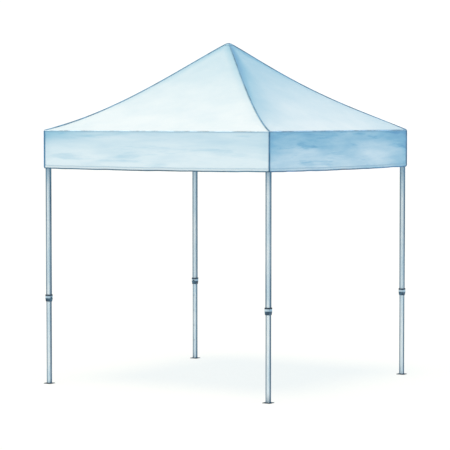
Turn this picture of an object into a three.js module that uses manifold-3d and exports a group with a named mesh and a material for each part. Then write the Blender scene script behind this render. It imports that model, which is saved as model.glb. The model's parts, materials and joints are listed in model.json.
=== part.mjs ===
// A square pop up canopy: four telescoping legs, a folding scissor frame and a fabric roof with a valance.
// Millimetres, +Z up. The origin is on the ground at the middle of the canopy.
import * as THREE from 'three';
import { mergeVertices } from 'three/addons/utils/BufferGeometryUtils.js';
import Module from 'manifold-3d';

const wasm = await Module();
wasm.setup();

// ---- Driving dimensions ----
const LEG_OFFSET = 1178; // from the middle of the canopy to a leg's centre, along X and along Y
const EAVE_HEIGHT = 2300;
const PEAK_HEIGHT = 3094;
const CANOPY_SIDE = 2410;
const VALANCE_DEPTH = 338;
const ROOF_SAG = 62; // how far the roof hangs below a straight slope, where it hangs furthest
const SAG_PLACE = 0.6; // and where that is, as a share of the way out from the peak to the eaves
const FABRIC = 1.2;

const GAP = 0.3; // between pieces that touch
const RUNNING_GAP = 0.4; // around a piece that slides

const OUTER_LEG = { side: 40, wall: 1.5, corner: 4, bottom: 766.3, top: 2284 };
const INNER_LEG = { side: 36, wall: 1.5, corner: 3, top: 900 };
const HEIGHT_HOLE = { radius: 4.2, pitch: 150, count: 5 }; // the row of holes up an inner leg
const FOOT = { side: 80, thickness: 4, corner: 10, holeRadius: 5.5, holeOffset: 28.5 };

const COLLAR = { bottom: 748.5, shoulder: 775, flange: 804, top: 811.5 }; // heights up its funnel and its flange
const COLLAR_HALF = { bottom: 20.5, shoulder: 23.5, flange: 25.5, corner: 5 }; // half its width at those heights
const BUTTON = { z: 786, radius: 7, stemRadius: 3.5, headLength: 5 };

const UPPER_PIVOT = 2268; // height of the pivots on the corner brackets, upper middle brackets and upper hub
const PIVOT_DROP = 290; // from the upper pivots down to the lower ones, with the frame open
const LEG_REACH = 51; // from a leg's centre to the pivots beside it, and from the middle to a hub's pivots
const MID_REACH = 40; // from the middle of a side to the pivots on its brackets
const BAR = { depth: 25, thickness: 12, wall: 1.2, plane: 7.5 };
const PIN = { radius: 4, headRadius: 7.5, headLength: 2.5 };
const LUG = { radius: 11, far: 8, near: 1.2 }; // its two faces are counted from the middle plane of its truss
const ROOT = 1; // how far inside a moulding's wall an arm or a housing starts

const CORNER = { half: 24, bottom: 2206, top: 2290 };
const SLIDER = { half: 24.5, below: 14, above: 44, latchReach: 9, latchRadius: 8, latchRise: 27 };
const MID_BLOCK = { half: 14, below: 16, above: 14 };
const UPPER_HUB = { radius: 25, below: 58, above: 8, armRoot: 22 };
const LOWER_HUB = { radius: 25, below: 24, above: 12, armRoot: 22, floor: 6 };
const POLE = { radius: 16, wall: 1.5, shoulder: 3070, top: 3084 };

// ---- Values worked out from them ----
const LOWER_PIVOT = UPPER_PIVOT - PIVOT_DROP;
const BAR_SPAN = LEG_OFFSET - LEG_REACH - MID_REACH;
const BAR_LENGTH = Math.hypot(BAR_SPAN, PIVOT_DROP);
const BAR_NEAR = BAR.plane - BAR.thickness / 2;
const BAR_FAR = BAR.plane + BAR.thickness / 2;
const BEYOND = 5; // how far a cutting tool runs past what it cuts

// ---- How finely curves are cut into flats ----
const ROUND = 8; // sides of a pin or a pin's hole
const HEAD_ROUND = 10; // sides of a pin's head
const WIDE_ROUND = 16; // sides of a hub or a pole
const CORNER_STEPS = 2; // along a post's round corner
const DOME_STEPS = 4; // up the pole's dome
const END_STEPS = 4; // round the end of a bar
const ROOF_STEPS = 8; // from the peak to the eaves
const SQUARE = 4; // sides of a lathed square
const PIN_HOLE = PIN.radius / Math.cos(Math.PI / ROUND) + GAP; // clears a pin's corners at every angle

// ---- Materials ----
const paint = (color, roughness, metalness) => new THREE.MeshStandardMaterial({ color, roughness, metalness });
const FABRIC_BLUE = paint('#dbe9f0', 0.9, 0);
const LEG_SILVER = paint('#c3d2de', 0.4, 0.6);
const BAR_SILVER = paint('#b4c2cd', 0.45, 0.6);
const MOULDING_GREY = paint('#5c7486', 0.6, 0);
const COLLAR_BLUE = paint('#4f6c80', 0.55, 0);
const BUTTON_GREY = paint('#2f4250', 0.5, 0);
const POLE_SILVER = paint('#b9c6d0', 0.4, 0.6);

// ---- Solids ----
function solidOf(geometry) {
  const bare = geometry.clone();
  bare.deleteAttribute('normal');
  bare.deleteAttribute('uv');
  const merged = mergeVertices(bare);
  const vertProperties = new Float32Array(merged.attributes.position.array);
  const triVerts = new Uint32Array(merged.index.array);
  return new wasm.Manifold(new wasm.Mesh({ numProp: 3, vertProperties, triVerts }));
}

function geometryOf(solid) {
  const mesh = solid.getMesh();
  const geometry = new THREE.BufferGeometry();
  geometry.setAttribute('position', new THREE.BufferAttribute(new Float32Array(mesh.vertProperties), 3));
  geometry.setIndex(Array.from(mesh.triVerts));
  geometry.computeVertexNormals();
  return geometry;
}

// A box between two values along each axis.
function block([x0, x1], [y0, y1], [z0, z1]) {
  const geometry = new THREE.BoxGeometry(x1 - x0, y1 - y0, z1 - z0);
  return solidOf(geometry.translate((x0 + x1) / 2, (y0 + y1) / 2, (z0 + z1) / 2));
}

// A cylinder along an axis, from one value to another, centred on the other two coordinates.
function rod(axis, radius, from, to, [u, v], sides = ROUND) {
  const geometry = new THREE.CylinderGeometry(radius, radius, Math.abs(to - from), sides);
  const middle = (from + to) / 2;
  if (axis === 'x') {
    geometry.rotateZ(Math.PI / 2).translate(middle, u, v);
  } else if (axis === 'y') {
    geometry.translate(u, middle, v);
  } else {
    geometry.rotateX(Math.PI / 2).translate(u, v, middle);
  }
  return solidOf(geometry);
}

// The outline of a square with round corners.
function squareOutline(half, corner) {
  const shape = new THREE.Shape();
  const flat = half - corner;
  shape.moveTo(-flat, -half);
  shape.lineTo(flat, -half);
  shape.absarc(flat, -flat, corner, -Math.PI / 2, 0);
  shape.lineTo(half, flat);
  shape.absarc(flat, flat, corner, 0, Math.PI / 2);
  shape.lineTo(-flat, half);
  shape.absarc(-flat, flat, corner, Math.PI / 2, Math.PI);
  shape.lineTo(-half, -flat);
  shape.absarc(-flat, -flat, corner, Math.PI, 1.5 * Math.PI);
  return shape;
}

// A square post with round corners, standing from one height to another.
function post(half, corner, bottom, top) {
  const geometry = new THREE.ExtrudeGeometry(squareOutline(half, corner), {
    depth: top - bottom,
    bevelEnabled: false,
    curveSegments: CORNER_STEPS,
  });
  return solidOf(geometry.translate(0, 0, bottom));
}

// A square tube, open at both ends.
function tube({ side, wall, corner }, bottom, top) {
  const bore = post(side / 2 - wall, corner - wall, bottom - BEYOND, top + BEYOND);
  return post(side / 2, corner, bottom, top).subtract(bore);
}

// A solid with a square section all the way up, from a profile of half widths and heights.
function squareLathe(profile) {
  const points = profile.map(([half, z]) => new THREE.Vector2(half * Math.SQRT2, z));
  return solidOf(new THREE.LatheGeometry(points, SQUARE, Math.PI / SQUARE).rotateX(Math.PI / 2));
}

// ---- Legs ----
// Each leg stands at the local origin. Its height button is on the -X side.
const buttonHole = () => rod('x', HEIGHT_HOLE.radius, -COLLAR_HALF.flange - BEYOND, -BEYOND, [0, BUTTON.z]);

function outerLeg() {
  return tube(OUTER_LEG, OUTER_LEG.bottom, OUTER_LEG.top).subtract(buttonHole());
}

// The lower leg, welded to its foot plate, with the row of holes that the height button finds.
function innerLeg() {
  const half = FOOT.side / 2;
  const plate = post(half, FOOT.corner, 0, FOOT.thickness);
  let leg = plate.add(tube(INNER_LEG, FOOT.thickness / 2, INNER_LEG.top));
  for (const at of [-FOOT.holeOffset, FOOT.holeOffset]) {
    leg = leg.subtract(rod('z', FOOT.holeRadius, -BEYOND, FOOT.thickness + BEYOND, [at, at]));
  }
  for (let i = 0; i < HEIGHT_HOLE.count; i += 1) {
    leg = leg.subtract(buttonHole().translate([0, 0, -i * HEIGHT_HOLE.pitch]));
  }
  return leg;
}

// The collar on the bottom of an outer leg: a flange, a straight band and a funnel down to the inner leg.
function legCollar() {
  const funnel = squareLathe([
    [0, COLLAR.bottom],
    [COLLAR_HALF.bottom, COLLAR.bottom],
    [COLLAR_HALF.shoulder, COLLAR.shoulder],
    [COLLAR_HALF.shoulder, COLLAR.flange],
    [0, COLLAR.flange],
  ]);
  const flange = post(COLLAR_HALF.flange, COLLAR_HALF.corner, COLLAR.flange - GAP, COLLAR.top);
  const outer = OUTER_LEG.side / 2 + GAP;
  const inner = INNER_LEG.side / 2 + RUNNING_GAP;
  const socket = post(outer, OUTER_LEG.corner, OUTER_LEG.bottom - GAP, COLLAR.top + BEYOND);
  const throat = post(inner, INNER_LEG.corner, COLLAR.bottom - BEYOND, COLLAR.top);
  return funnel.add(flange)
    .subtract(socket).subtract(throat).subtract(buttonHole());
}

// The sprung button that is pulled to free a leg: a stem through the collar and the outer leg, and a round head.
function legButton() {
  const tip = -INNER_LEG.side / 2 - RUNNING_GAP;
  const face = -COLLAR_HALF.shoulder - GAP;
  const stem = rod('x', BUTTON.stemRadius, face - BUTTON.headLength / 2, tip, [0, BUTTON.z]);
  return stem.add(rod('x', BUTTON.radius, face - BUTTON.headLength, face, [0, BUTTON.z], HEAD_ROUND));
}

// ---- Pivots ----
// A lug with its pin. It runs along +X from start to reach, in a truss whose middle plane is y = 0. The lug
// lies on the side of that plane away from its bar, and side is the bar's: +1 or -1 along Y.
function lug(start, reach, z, side) {
  const [low, high] = [-side * LUG.far, side * LUG.near].sort((a, b) => a - b);
  const arm = block([start, reach], [low, high], [z - LUG.radius, z + LUG.radius]);
  const eye = rod('y', LUG.radius, low, high, [reach, z], HEAD_ROUND);
  const headFrom = side * (BAR_FAR + GAP);
  const pin = rod('y', PIN.radius, 0, headFrom + side * PIN.headLength / 2, [reach, z]);
  const head = rod('y', PIN.headRadius, headFrom, headFrom + side * PIN.headLength, [reach, z], HEAD_ROUND);
  return arm.add(eye).add(pin).add(head);
}

const turned = (solid, quarterTurns) => solid.rotate([0, 0, 90 * quarterTurns]);

// ---- Mouldings ----
// The moulding on top of a leg. The leg stands at the local origin, and its two trusses run along -X and -Y.
function cornerBracket() {
  const bore = OUTER_LEG.side / 2 + GAP;
  const shell = post(CORNER.half, OUTER_LEG.corner, CORNER.bottom, CORNER.top);
  const socket = post(bore, OUTER_LEG.corner, CORNER.bottom - BEYOND, OUTER_LEG.top + GAP);
  const start = bore + ROOT;
  return shell.subtract(socket)
    .add(turned(lug(start, LEG_REACH, UPPER_PIVOT, -1), 2))
    .add(turned(lug(start, LEG_REACH, UPPER_PIVOT, 1), 3));
}

// The moulding that slides on a leg and carries the lower ends of the bars, with a housing for its latch.
function slider() {
  const bore = OUTER_LEG.side / 2 + RUNNING_GAP;
  const bottom = LOWER_PIVOT - SLIDER.below;
  const top = LOWER_PIVOT + SLIDER.above;
  const start = bore + ROOT;
  const latch = [0, LOWER_PIVOT + SLIDER.latchRise];
  const housing = rod('x', SLIDER.latchRadius, -SLIDER.half - SLIDER.latchReach, -start, latch, HEAD_ROUND);
  return post(SLIDER.half, OUTER_LEG.corner, bottom, top)
    .subtract(post(bore, OUTER_LEG.corner, bottom - BEYOND, top + BEYOND))
    .add(turned(lug(start, LEG_REACH, LOWER_PIVOT, 1), 2))
    .add(turned(lug(start, LEG_REACH, LOWER_PIVOT, -1), 3))
    .add(housing);
}

// A moulding in the middle of a side, with +X outwards: two pivots along the side, and one inwards.
function midBracket(z, outward) {
  const { half, below, above } = MID_BLOCK;
  const start = half - ROOT;
  return block([-LUG.far, LUG.far], [-half, half], [z - below, z + above])
    .add(turned(lug(start, MID_REACH, z, -outward), 1))
    .add(turned(lug(start, MID_REACH, z, outward), 3))
    .add(turned(lug(LUG.far - ROOT, MID_REACH, z, -outward), 2));
}

// A hub with four pivots round it, whose bars lie on one side of their trusses, and a bore for the pole.
function hub({ radius, below, above, armRoot }, z, side, boreRadius, boreBottom) {
  let solid = rod('z', radius, z - below, z + above, [0, 0], WIDE_ROUND);
  for (let quarter = 0; quarter < 4; quarter += 1) {
    solid = solid.add(turned(lug(armRoot, LEG_REACH, z, side), quarter));
  }
  return solid.subtract(rod('z', boreRadius, boreBottom, z + above + BEYOND, [0, 0], WIDE_ROUND));
}

// The pole slides through the upper hub.
function upperHub() {
  const boreBottom = UPPER_PIVOT - UPPER_HUB.below - BEYOND;
  return hub(UPPER_HUB, UPPER_PIVOT, 1, POLE.radius + RUNNING_GAP, boreBottom);
}

// The pole stands on the floor of the lower hub.
function lowerHub() {
  const boreBottom = LOWER_PIVOT - LOWER_HUB.below + LOWER_HUB.floor;
  return hub(LOWER_HUB, LOWER_PIVOT, -1, POLE.radius + GAP, boreBottom);
}

// The tube that holds up the peak, with a domed top.
function peakPole() {
  const foot = LOWER_PIVOT - LOWER_HUB.below + LOWER_HUB.floor + GAP;
  const dome = new THREE.EllipseCurve(0, POLE.shoulder, POLE.radius, POLE.top - POLE.shoulder, 0, Math.PI / 2);
  const bore = POLE.radius - POLE.wall;
  const points = [
    new THREE.Vector2(bore, foot),
    new THREE.Vector2(POLE.radius, foot),
    ...dome.getPoints(DOME_STEPS).slice(0, -1),
    new THREE.Vector2(0, POLE.top),
    new THREE.Vector2(0, POLE.shoulder),
    new THREE.Vector2(bore, POLE.shoulder),
    new THREE.Vector2(bore, foot),
  ];
  return solidOf(new THREE.LatheGeometry(points, WIDE_ROUND).rotateX(Math.PI / 2));
}

// ---- Bars ----
// A rectangular tube with round ends and three pivot holes, lying along X with its middle at the origin.
function bar() {
  const half = BAR_LENGTH / 2;
  const end = BAR.depth / 2;
  const outline = new THREE.Shape();
  outline.moveTo(-half, -end);
  outline.lineTo(half, -end);
  outline.absarc(half, 0, end, -Math.PI / 2, Math.PI / 2);
  outline.lineTo(-half, end);
  outline.absarc(-half, 0, end, Math.PI / 2, 1.5 * Math.PI);
  const skin = new THREE.ExtrudeGeometry(outline, {
    depth: BAR.thickness,
    bevelEnabled: false,
    curveSegments: END_STEPS,
  });
  let solid = solidOf(skin.translate(0, 0, -BAR.thickness / 2).rotateX(Math.PI / 2));
  const inside = BAR.thickness / 2 - BAR.wall;
  const length = half + end + BEYOND;
  solid = solid.subtract(block([-length, length], [-inside, inside], [-end + BAR.wall, end - BAR.wall]));
  for (const x of [-half, 0, half]) {
    solid = solid.subtract(rod('y', PIN_HOLE, -BAR.thickness, BAR.thickness, [x, 0]));
  }
  return solid;
}

// The same bar with the rivet that holds the bar it crosses, on the -Y side.
function rivetedBar() {
  const face = BAR.thickness / 2;
  const washerEnd = -BAR.plane - BAR_NEAR + GAP;
  const headFrom = -BAR.plane - BAR_FAR - GAP;
  const rivet = rod('y', PIN_HOLE + GAP, -face, face, [0, 0]);
  const washer = rod('y', PIN.headRadius, washerEnd, -face + BAR.wall / 2, [0, 0]);
  const stem = rod('y', PIN.radius, headFrom - PIN.headLength / 2, -face, [0, 0]);
  const head = rod('y', PIN.headRadius, headFrom - PIN.headLength, headFrom, [0, 0], HEAD_ROUND);
  return bar().add(rivet).add(washer).add(stem).add(head);
}

// ---- Canopy ----
// Height of the roof at a share of the way out from the peak to the eaves.
function roofHeight(share) {
  const rise = PEAK_HEIGHT - EAVE_HEIGHT;
  const power = SAG_PLACE / (1 - SAG_PLACE);
  const hang = (share / SAG_PLACE) ** power * ((1 - share) / (1 - SAG_PLACE));
  return EAVE_HEIGHT + rise * (1 - share) - ROOF_SAG * hang;
}

// A four-sided fabric roof that sags between its peak and its eaves, with a valance all round.
function canopy() {
  const outer = CANOPY_SIDE / 2;
  const inner = outer - FABRIC;
  const shares = Array.from({ length: ROOF_STEPS + 1 }, (_, i) => i / ROOF_STEPS);
  const hem = EAVE_HEIGHT - VALANCE_DEPTH;
  const steepness = (PEAK_HEIGHT - EAVE_HEIGHT) / outer;
  const under = FABRIC * Math.hypot(1, steepness); // the fabric's thickness measured straight down
  return squareLathe([
    ...shares.map((share) => [inner * share, roofHeight(share) - under]),
    [inner, hem],
    [outer, hem],
    ...shares.map((share) => [outer * share, roofHeight(share)]).reverse(),
  ]);
}

// ---- Assembly ----
const group = new THREE.Group();
const SIDES = ['right', 'rear', 'left', 'front']; // outwards along +X, +Y, -X and -Y
const CORNERS = ['rear_right', 'rear_left', 'front_left', 'front_right'];

function place(name, geometry, material, parent = group) {
  const mesh = new THREE.Mesh(geometry, material);
  mesh.name = name;
  parent.add(mesh);
  return mesh;
}

// A group at (x, y), turned about Z by a number of quarter turns.
function station(quarter, x, y) {
  const turn = new THREE.Group();
  turn.rotation.z = quarter * Math.PI / 2;
  const spot = new THREE.Group();
  spot.position.set(x, y, 0);
  turn.add(spot);
  group.add(turn);
  return spot;
}

const shapes = {
  outerLeg: geometryOf(outerLeg()),
  innerLeg: geometryOf(innerLeg()),
  collar: geometryOf(legCollar()),
  button: geometryOf(legButton()),
  corner: geometryOf(cornerBracket()),
  slider: geometryOf(slider()),
  midUpper: geometryOf(midBracket(UPPER_PIVOT, -1)),
  midLower: geometryOf(midBracket(LOWER_PIVOT, 1)),
  bar: geometryOf(bar()),
  rivetedBar: geometryOf(rivetedBar()),
};

// A bar between two pivots. Its own Y axis points along side, and so away from its rivet's head.
function placeBar(name, from, to, side, riveted) {
  const along = to.clone().sub(from).normalize();
  const mesh = place(name, riveted ? shapes.rivetedBar : shapes.bar, BAR_SILVER);
  mesh.applyMatrix4(new THREE.Matrix4().makeBasis(along, side, along.clone().cross(side)));
  mesh.position.copy(from).add(to).multiplyScalar(0.5).addScaledVector(side, riveted ? BAR.plane : -BAR.plane);
  return mesh;
}

function placeLeg(corner, quarter) {
  const spot = station(quarter, LEG_OFFSET, LEG_OFFSET);
  place(`corner_bracket_${corner}`, shapes.corner, MOULDING_GREY, spot);
  place(`outer_leg_${corner}`, shapes.outerLeg, LEG_SILVER, spot);
  place(`leg_collar_${corner}`, shapes.collar, COLLAR_BLUE, spot);
  place(`leg_button_${corner}`, shapes.button, BUTTON_GREY, spot);
  place(`inner_leg_${corner}`, shapes.innerLeg, LEG_SILVER, spot);
  place(`slider_${corner}`, shapes.slider, MOULDING_GREY, spot);
}

function placeSide(side, quarter) {
  const spot = station(quarter, LEG_OFFSET, 0);
  place(`mid_upper_bracket_${side}`, shapes.midUpper, MOULDING_GREY, spot);
  place(`mid_lower_bracket_${side}`, shapes.midLower, MOULDING_GREY, spot);

  const angle = quarter * Math.PI / 2;
  const out = new THREE.Vector3(Math.round(Math.cos(angle)), Math.round(Math.sin(angle)), 0);
  const along = new THREE.Vector3(-out.y, out.x, 0);
  const point = (outwards, sideways, z) => new THREE.Vector3(0, 0, z)
    .addScaledVector(out, outwards).addScaledVector(along, sideways);

  // The truss from the hubs to the middle of this side.
  const [near, far] = [LEG_REACH, LEG_OFFSET - MID_REACH];
  placeBar(`cross_bar_down_${side}`, point(near, 0, UPPER_PIVOT), point(far, 0, LOWER_PIVOT), along, true);
  placeBar(`cross_bar_up_${side}`, point(near, 0, LOWER_PIVOT), point(far, 0, UPPER_PIVOT), along, false);

  // The two trusses from the middle of this side to the legs at its ends.
  for (const [end, way] of [['a', -1], ['b', 1]]) {
    const [inside, outside] = [way * MID_REACH, way * (LEG_OFFSET - LEG_REACH)];
    const edge = (sideways, z) => point(LEG_OFFSET, sideways, z);
    placeBar(`side_bar_up_${side}_${end}`, edge(inside, LOWER_PIVOT), edge(outside, UPPER_PIVOT), out, true);
    placeBar(`side_bar_down_${side}_${end}`, edge(inside, UPPER_PIVOT), edge(outside, LOWER_PIVOT), out, false);
  }
}

place('upper_hub', geometryOf(upperHub()), MOULDING_GREY);
place('lower_hub', geometryOf(lowerHub()), MOULDING_GREY);
place('peak_pole', geometryOf(peakPole()), POLE_SILVER);
place('canopy', geometryOf(canopy()), FABRIC_BLUE);
CORNERS.forEach(placeLeg);
SIDES.forEach(placeSide);

export default group;
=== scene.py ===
"""The looks of a pop up canopy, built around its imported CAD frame. Metres, +Z up."""

import json
import math

import bpy
import numpy as np
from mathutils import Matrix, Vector

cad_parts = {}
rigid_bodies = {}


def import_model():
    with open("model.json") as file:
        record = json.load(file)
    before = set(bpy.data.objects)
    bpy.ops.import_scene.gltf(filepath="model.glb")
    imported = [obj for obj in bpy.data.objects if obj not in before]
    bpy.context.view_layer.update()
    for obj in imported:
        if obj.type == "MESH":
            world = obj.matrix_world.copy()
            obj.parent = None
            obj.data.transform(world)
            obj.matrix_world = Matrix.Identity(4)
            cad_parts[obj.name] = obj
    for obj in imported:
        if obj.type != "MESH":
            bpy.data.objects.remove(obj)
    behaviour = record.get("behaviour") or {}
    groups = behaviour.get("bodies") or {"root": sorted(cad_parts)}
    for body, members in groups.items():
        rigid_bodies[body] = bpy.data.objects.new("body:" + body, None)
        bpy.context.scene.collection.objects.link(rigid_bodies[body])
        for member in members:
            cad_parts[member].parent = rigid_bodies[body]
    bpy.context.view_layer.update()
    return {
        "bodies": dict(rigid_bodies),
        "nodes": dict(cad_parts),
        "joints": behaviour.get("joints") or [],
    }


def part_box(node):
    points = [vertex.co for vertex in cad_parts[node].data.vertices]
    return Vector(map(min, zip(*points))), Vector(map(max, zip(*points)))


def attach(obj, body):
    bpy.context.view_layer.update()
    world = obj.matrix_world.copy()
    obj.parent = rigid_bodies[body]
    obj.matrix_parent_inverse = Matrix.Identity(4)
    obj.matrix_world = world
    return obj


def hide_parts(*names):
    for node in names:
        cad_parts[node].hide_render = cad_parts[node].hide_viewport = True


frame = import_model()
NODES = frame["nodes"]
BODIES = frame["bodies"]
JOINTS = {joint["name"]: joint for joint in frame["joints"]}

# ---- Sizes, from the frame where it has them ----
CANOPY_LOW, CANOPY_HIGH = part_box("canopy")
HALF = CANOPY_HIGH.x  # half the width across the eaves
PEAK = CANOPY_HIGH.z
HEM = CANOPY_LOW.z
VALANCE_DEPTH = 0.338
EAVE = HEM + VALANCE_DEPTH
SAG = 0.062  # how far the roof hangs below a straight slope, where it hangs furthest
SAG_PLACE = 0.6  # and where that is, as a share of the way from the peak to the eaves
CLOTH = 0.0008
LEG = 1.178  # from the middle to a leg's centre, along X and along Y
UPPER_PIVOT = 2.268
LOWER_PIVOT = 1.978
LEG_REACH = 0.051  # from a leg's centre, or the middle, to the pivots beside it
MID_REACH = 0.040  # from the middle of a side to its pivots
HEAD_OUT = 0.0163  # from the middle plane of a truss to the outside of its pins' heads
FOOT_TOP = 0.005

SIDES = ("right", "rear", "left", "front")  # outwards along +X, +Y, -X, -Y
CORNERS = ("rear_right", "rear_left", "front_left", "front_right")
COLUMNS = 144  # of the cloth's mesh, across one side
ROOF_ROWS = 64
VALANCE_ROWS = 22


# ---- Small helpers ----
def smooth(x):
    """0 up to 0 and 1 from 1, smooth between."""
    x = np.clip(x, 0, 1)
    return x * x * (3 - 2 * x)


def mesh_object(name, points, faces, material, uvs=None):
    """A smooth mesh with UV maps given by name, each with one row per point."""
    mesh = bpy.data.meshes.new(name)
    mesh.from_pydata([tuple(p) for p in points], [], [tuple(f) for f in faces])
    corner_vertex = np.zeros(len(mesh.loops), int)
    mesh.loops.foreach_get("vertex_index", corner_vertex)
    for layer_name, uv in (uvs or {}).items():
        layer = mesh.uv_layers.new(name=layer_name)
        layer.data.foreach_set("uv", np.asarray(uv, np.float32)[corner_vertex].ravel())
    mesh.polygons.foreach_set("use_smooth", [True] * len(mesh.polygons))
    mesh.update()
    obj = bpy.data.objects.new(name, mesh)
    bpy.context.scene.collection.objects.link(obj)
    obj.data.materials.append(material)
    return obj


def grid_faces(rows, columns, closed=True, first=0):
    """Faces between rows of points. Closed rows run round, and first is the number of the first point."""
    faces = []
    for i in range(rows - 1):
        for j in range(columns if closed else columns - 1):
            a = first + i * columns + j
            b = first + i * columns + (j + 1) % columns
            faces.append((a, a + columns, b + columns, b))
    return faces


def uv_rows(u, v):
    """One row per point from two grids of values."""
    return np.stack(np.broadcast_arrays(u, v), -1).reshape(-1, 2)


def lengths(path):
    """How far along a path each of its points is."""
    return np.concatenate([[0], np.cumsum(np.linalg.norm(np.diff(path, axis=0), axis=1))])


def thicken(obj, thickness, offset):
    solid = obj.modifiers.new("cloth", "SOLIDIFY")
    solid.thickness = thickness
    solid.offset = offset


def tube(path, radius, sides=8, closed=False):
    """Points, faces and a UV map of a round cord along a path."""
    path = np.asarray(path, float)
    ahead = np.roll(path, -1, 0) - path
    if not closed:
        ahead[-1] = ahead[-2]
    behind = np.roll(ahead, 1, 0)
    if not closed:
        behind[0] = ahead[0]
    tangent = ahead + behind
    tangent /= np.linalg.norm(tangent, axis=1)[:, None]
    side = np.cross(tangent, [0, 0, 1.0])
    weak = np.linalg.norm(side, axis=1) < 0.05
    side[weak] = np.cross(tangent[weak], [1.0, 0.3, 0])
    side /= np.linalg.norm(side, axis=1)[:, None]
    up = np.cross(side, tangent)
    turn = np.arange(sides) * 2 * np.pi / sides
    radius = np.broadcast_to(radius, len(path))[:, None, None]
    ring = path[:, None] + radius * (
        np.cos(turn)[None, :, None] * side[:, None] + np.sin(turn)[None, :, None] * up[:, None])
    rows = len(path)
    faces = grid_faces(rows, sides)
    if closed:
        last = (rows - 1) * sides
        faces += [(last + k, k, (k + 1) % sides, last + (k + 1) % sides) for k in range(sides)]
    else:
        faces += [tuple(range(sides)), tuple((rows - 1) * sides + k for k in reversed(range(sides)))]
    return ring.reshape(-1, 3), faces, uv_rows(lengths(path)[:, None], turn * radius[:, :, 0])


def quarter(points, turns, offset=(0, 0, 0)):
    """Points moved by offset, then turned about Z by quarter turns."""
    x, y, z = np.moveaxis(np.asarray(points, float) + offset, -1, 0)
    c, s = round(math.cos(turns * math.pi / 2)), round(math.sin(turns * math.pi / 2))
    return np.stack([c * x - s * y, s * x + c * y, z], -1)


# ---- Node materials ----
def node(tree, kind, inputs=None, **settings):
    made = tree.nodes.new("ShaderNode" + kind)
    for key, value in settings.items():
        setattr(made, key, value)
    for key, value in (inputs or {}).items():
        if isinstance(value, bpy.types.NodeSocket):
            tree.links.new(value, made.inputs[key])
        else:
            made.inputs[key].default_value = value
    return made


class Paint:
    """A principled material and the sums that its nodes are made from."""

    def __init__(self, name):
        self.material = bpy.data.materials.new(name)
        self.material.use_nodes = True
        self.tree = self.material.node_tree
        self.tree.nodes.clear()
        self.shader = self.add("BsdfPrincipled")
        self.add("OutputMaterial", {0: self.shader.outputs[0]})

    def add(self, kind, inputs=None, **settings):
        return node(self.tree, kind, inputs, **settings)

    def sum(self, operation, a, b=0.0):
        """One Math node. The operation is Blender's name for it."""
        return self.add("Math", {0: a, 1: b}, operation=operation).outputs[0]

    def ramp(self, value, low, high):
        """0 at low and 1 at high, or the other way round, smooth between."""
        made = self.add("MapRange", {0: value, 1: low, 2: high}, interpolation_type="SMOOTHSTEP")
        return made.outputs[0]

    def mix(self, share, a, b):
        made = self.add("Mix", data_type="RGBA")
        for socket, value in zip((made.inputs[0], made.inputs[6], made.inputs[7]), (share, a, b)):
            if isinstance(value, bpy.types.NodeSocket):
                self.tree.links.new(value, socket)
            else:
                socket.default_value = value if socket.type == "VALUE" else (*value, 1.0)
        return made.outputs[2]

    def noise(self, vector, scale, detail=3.0, roughness=0.55):
        at = self.add("Mapping", {"Vector": vector, "Scale": scale}).outputs[0]
        inputs = {"Vector": at, "Scale": 1.0, "Detail": detail, "Roughness": roughness}
        return self.add("TexNoise", inputs).outputs[0]

    def bump(self, height, distance, strength, normal=None):
        inputs = {"Strength": strength, "Distance": distance, "Height": height}
        if normal is not None:
            inputs["Normal"] = normal
        return self.add("Bump", inputs).outputs[0]

    def set(self, **values):
        """Shader inputs by name, with _ for a space."""
        for key, value in values.items():
            socket = self.shader.inputs[key.replace("_", " ")]
            if isinstance(value, bpy.types.NodeSocket):
                self.tree.links.new(value, socket)
            else:
                socket.default_value = value
        return self.material

    def axes(self, vector):
        return self.add("SeparateXYZ", {0: vector}).outputs

    def rounded(self, radius):
        """The surface's normal with its edges rounded off, and how near an edge is, from 0 to 1."""
        edge = self.add("Bevel", {"Radius": radius}, samples=4).outputs[0]
        flat = self.add("NewGeometry").outputs["Normal"]
        near = self.add("VectorMath", {0: edge, 1: flat}, operation="DOT_PRODUCT").outputs["Value"]
        return edge, self.ramp(near, 0.995, 0.86)


# ---- The object's materials ----
PLAIN = (0.82, 0.885, 0.905)  # the cloth where it has no wash
# the colours that the cloth turns to as its wash deepens; that wash is mostly painted shade, with some
# random tone
WASH = (0.33, 0.585, 0.72)
DEEP_SHADE_WASH = (0.17, 0.39, 0.60)
THREAD = (0.24, 0.38, 0.52)
COATING = (0.62, 0.68, 0.72)  # of the cloth's inside
HEM_SHADE = (0.012, 0.035, 0.055)
METAL_SHADE = (0.03, 0.105, 0.18)  # painted shade on the metal's edges, in the grooves and corners of a leg, and towards its foot
# painted shadow of the valance on the top of a leg
VALANCE_SHADOW_ON_LEG = (0.09, 0.25, 0.38)
# the foot plate's dark coat, made near black so that it also stands in for the shade where the foot meets
# the floor
PLATE_TONES = (0.008, 0.025, 0.04), (0.03, 0.06, 0.09)
BAND_TONES = (0.38, 0.52, 0.62), (0.60, 0.72, 0.79)
BAND_LOW, BAND_HIGH = 0.7795, 0.7995  # heights of a collar's pale band, partly printed and partly a painted highlight
FLANGE_DARK = (0.012, 0.03, 0.055)
# painted shade on a collar's edges
COLLAR_EDGE = (0.015, 0.04, 0.07)
THREAD_PITCH = 0.0022
STITCH_PITCH = 0.0046
STITCH_IN = 0.0090  # from the edge of the cloth to the line of stitches
TAPE_WIDTH = 0.012  # of the seam allowance that shows as a tape


def times(colour, factor):
    return tuple(c * factor for c in colour)


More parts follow.
